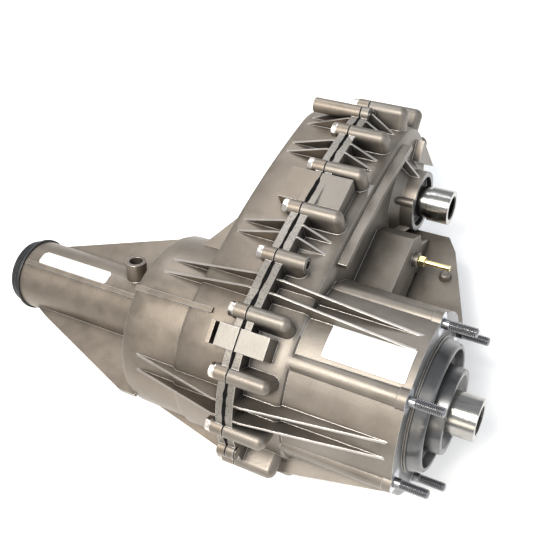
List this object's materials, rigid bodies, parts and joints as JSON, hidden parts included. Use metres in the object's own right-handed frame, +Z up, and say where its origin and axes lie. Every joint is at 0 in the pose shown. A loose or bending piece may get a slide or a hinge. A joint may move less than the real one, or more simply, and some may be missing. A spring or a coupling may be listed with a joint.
{
  "type": "transfer case",
  "caption": "Chain-driven two-speed transfer case: ribbed two-piece cast housing, splined input, offset front output, tail tube, planetary reduction and shift forks inside.",
  "frame": {"origin": "centre of the input (adapter) face, on the main shaft's axis", "axes": "+X forward out of the input face along the main shaft, +Y sideways to the front output's axis, +Z up as the housing lies with its front output beside the main shaft"},
  "size_m": [0.606, 0.495, 0.2744],
  "materials": {
    "cast_alloy": "satin cast",
    "machined_light": "machined",
    "steel": "machined",
    "dark_steel": "dark zinc",
    "zinc": "bright zinc",
    "brass": "satin",
    "rubber": "matt",
    "sealant": "matt",
    "label": "paper",
    "bronze": "satin"
  },
  "bodies": {
    "case": {"front_case": "cast_alloy", "rear_case": "cast_alloy", "case_sealant": "sealant", "case_bolts": "zinc", "dowel_pins": "steel", "adapter_studs": "dark_steel", "input_retainer": "machined_light", "input_seal": "rubber", "output_seal": "rubber", "tail_seal": "rubber", "tail_bushing": "bronze", "ball_bearings": "steel", "annulus_gear": "steel", "drive_chain": "dark_steel", "shift_rail": "steel", "vent_fitting": "brass", "case_plugs": "zinc", "oil_pump_housing": "machined_light"},
    "input": {"input_gear": "steel"},
    "mainshaft": {"mainshaft": "steel", "oil_pump_rotor": "steel", "tone_ring": "dark_steel"},
    "carrier": {"planet_carrier": "steel"},
    "planet_1": {"planet_gear_1": "steel"},
    "planet_2": {"planet_gear_2": "steel"},
    "planet_3": {"planet_gear_3": "steel"},
    "drive_sprocket": {"drive_sprocket": "steel"},
    "front_output": {"front_output_shaft": "steel", "driven_sprocket": "steel"},
    "range_sleeve": {"range_sleeve": "steel"},
    "range_fork": {"range_fork": "machined_light"},
    "mode_sleeve": {"mode_sleeve": "steel"},
    "mode_fork": {"mode_fork": "machined_light"},
    "sector": {"shift_sector": "steel"}
  },
  "joints": [
    {"name": "mainshaft_spin", "type": "hinge", "parent": "case", "child": "mainshaft", "pos_m": [-0.3, 0, 0], "axis": [1, 0, 0], "continuous": true},
    {"name": "input_spin", "type": "hinge", "parent": "case", "child": "input", "pos_m": [0, 0, 0], "axis": [1, 0, 0], "continuous": true},
    {"name": "carrier_spin", "type": "hinge", "parent": "case", "child": "carrier", "pos_m": [-0.058, 0, 0], "axis": [1, 0, 0], "continuous": true},
    {"name": "planet_spin_1", "type": "hinge", "parent": "carrier", "child": "planet_1", "pos_m": [-0.058, 0.0576, 0], "axis": [1, 0, 0], "continuous": true},
    {"name": "planet_spin_2", "type": "hinge", "parent": "carrier", "child": "planet_2", "pos_m": [-0.058, -0.0288, 0.04988], "axis": [1, 0, 0], "continuous": true},
    {"name": "planet_spin_3", "type": "hinge", "parent": "carrier", "child": "planet_3", "pos_m": [-0.058, -0.0288, -0.04988], "axis": [1, 0, 0], "continuous": true},
    {"name": "front_output_spin", "type": "hinge", "parent": "case", "child": "front_output", "pos_m": [-0.095, 0.24765, 0], "axis": [1, 0, 0], "continuous": true},
    {"name": "drive_sprocket_spin", "type": "hinge", "parent": "case", "child": "drive_sprocket", "pos_m": [-0.168, 0, 0], "axis": [1, 0, 0], "continuous": true},
    {"name": "sector_turn", "type": "hinge", "parent": "case", "child": "sector", "pos_m": [-0.1, 0.162, -0.008], "axis": [1, 0, 0], "range_deg": [0, 110]},
    {"name": "range_fork_slide", "type": "slide", "parent": "case", "child": "range_fork", "axis": [-1, 0, 0], "range_m": [0, 0.012]},
    {"name": "range_sleeve_slide", "type": "slide", "parent": "mainshaft", "child": "range_sleeve", "axis": [-1, 0, 0], "range_m": [0, 0.012]},
    {"name": "mode_fork_slide", "type": "slide", "parent": "case", "child": "mode_fork", "axis": [1, 0, 0], "range_m": [0, 0.01]},
    {"name": "mode_sleeve_slide", "type": "slide", "parent": "mainshaft", "child": "mode_sleeve", "axis": [1, 0, 0], "range_m": [0, 0.01]}
  ],
  "couplings": [
    {"joint": "input_spin", "follows": "mainshaft_spin", "ratio": 1},
    {"joint": "carrier_spin", "follows": "mainshaft_spin", "ratio": 0.375},
    {"joint": "planet_spin_1", "follows": "mainshaft_spin", "ratio": -1.875},
    {"joint": "planet_spin_2", "follows": "mainshaft_spin", "ratio": -1.875},
    {"joint": "planet_spin_3", "follows": "mainshaft_spin", "ratio": -1.875},
    {"joint": "drive_sprocket_spin", "follows": "front_output_spin", "ratio": 1},
    {"joint": "range_fork_slide", "follows": "range_sleeve_slide", "ratio": 1},
    {"joint": "sector_turn", "follows": "range_sleeve_slide", "rad_per_m": 159.99},
    {"joint": "mode_sleeve_slide", "follows": "mode_fork_slide", "ratio": 1}
  ]
}
